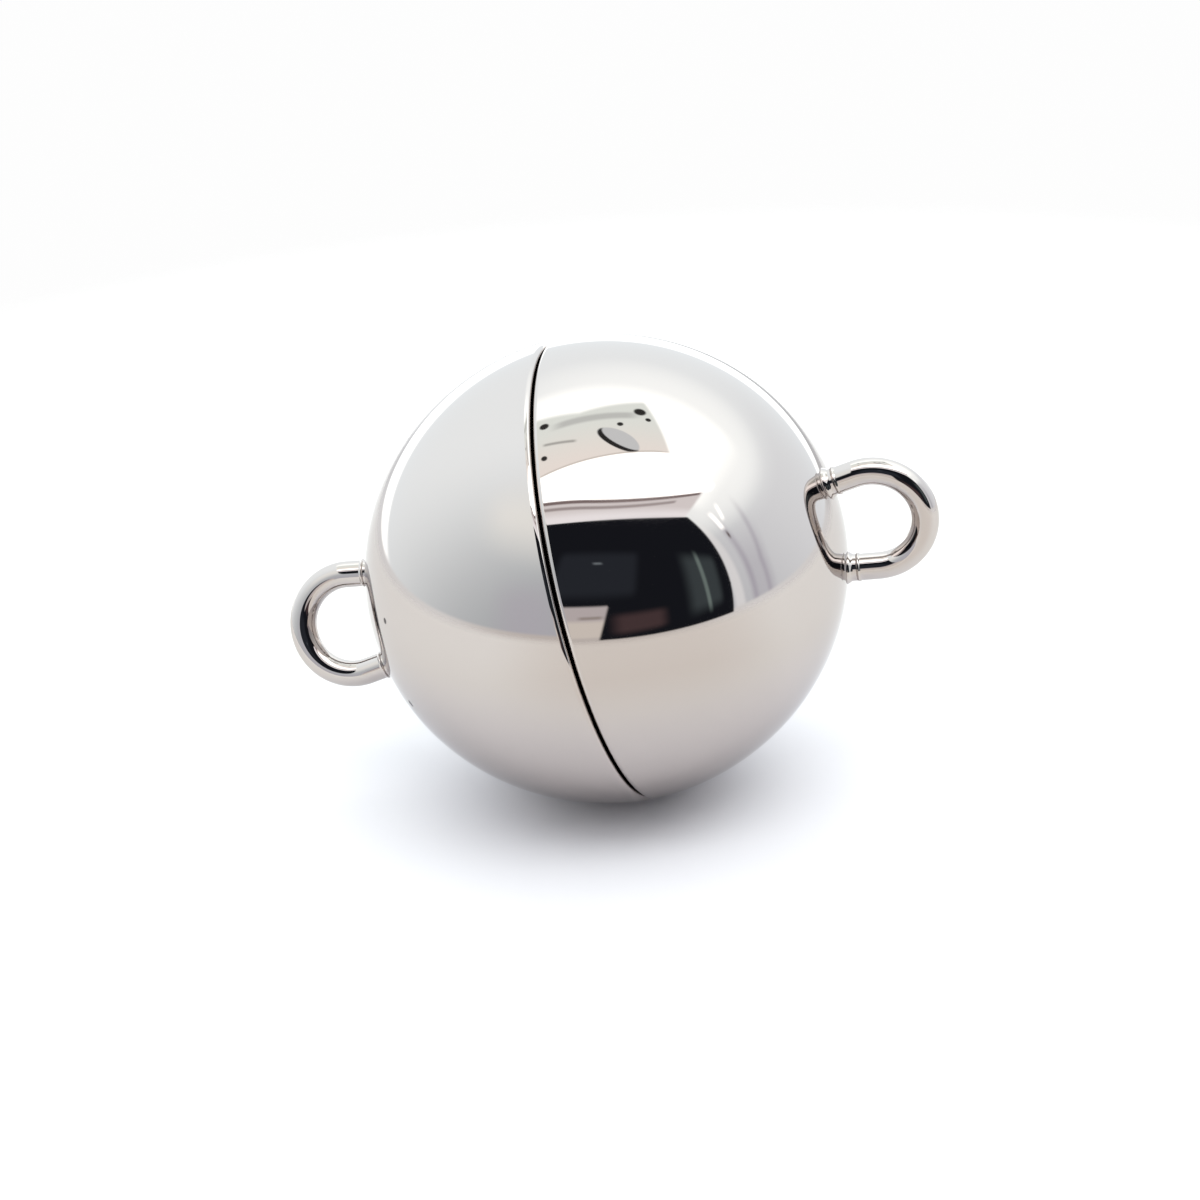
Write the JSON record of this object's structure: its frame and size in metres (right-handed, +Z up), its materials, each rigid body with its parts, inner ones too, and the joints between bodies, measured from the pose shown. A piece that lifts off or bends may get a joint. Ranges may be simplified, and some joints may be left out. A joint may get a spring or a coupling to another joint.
{
  "type": "magnetic ball clasp",
  "caption": "Polished ball clasp, split across the middle into halves that disc magnets hold together, with a soldered wire loop on each end.",
  "frame": {"origin": "centre of the closed ball", "axes": "+Z up as the clasp lies on a table, +X level and towards the right loop. The clasp's own axis leans up by 12.5 degrees towards +X"},
  "size_m": [0.0169, 0.012, 0.0119],
  "materials": {
    "polished_metal": "mirror-polished white metal plating, with faint hairline scratches and a few tiny pits",
    "magnet_plating": "satin nickel plating of a disc magnet"
  },
  "bodies": {
    "left_half": {"left_half_shell": "polished_metal", "left_magnet": "magnet_plating"},
    "right_half": {"right_half_shell": "polished_metal", "right_magnet": "magnet_plating"}
  },
  "joints": [
    {"name": "pull_apart", "type": "slide", "parent": "left_half", "child": "right_half", "axis": [0.9763, 0, 0.2164], "range_m": [0, 0.012]}
  ]
}
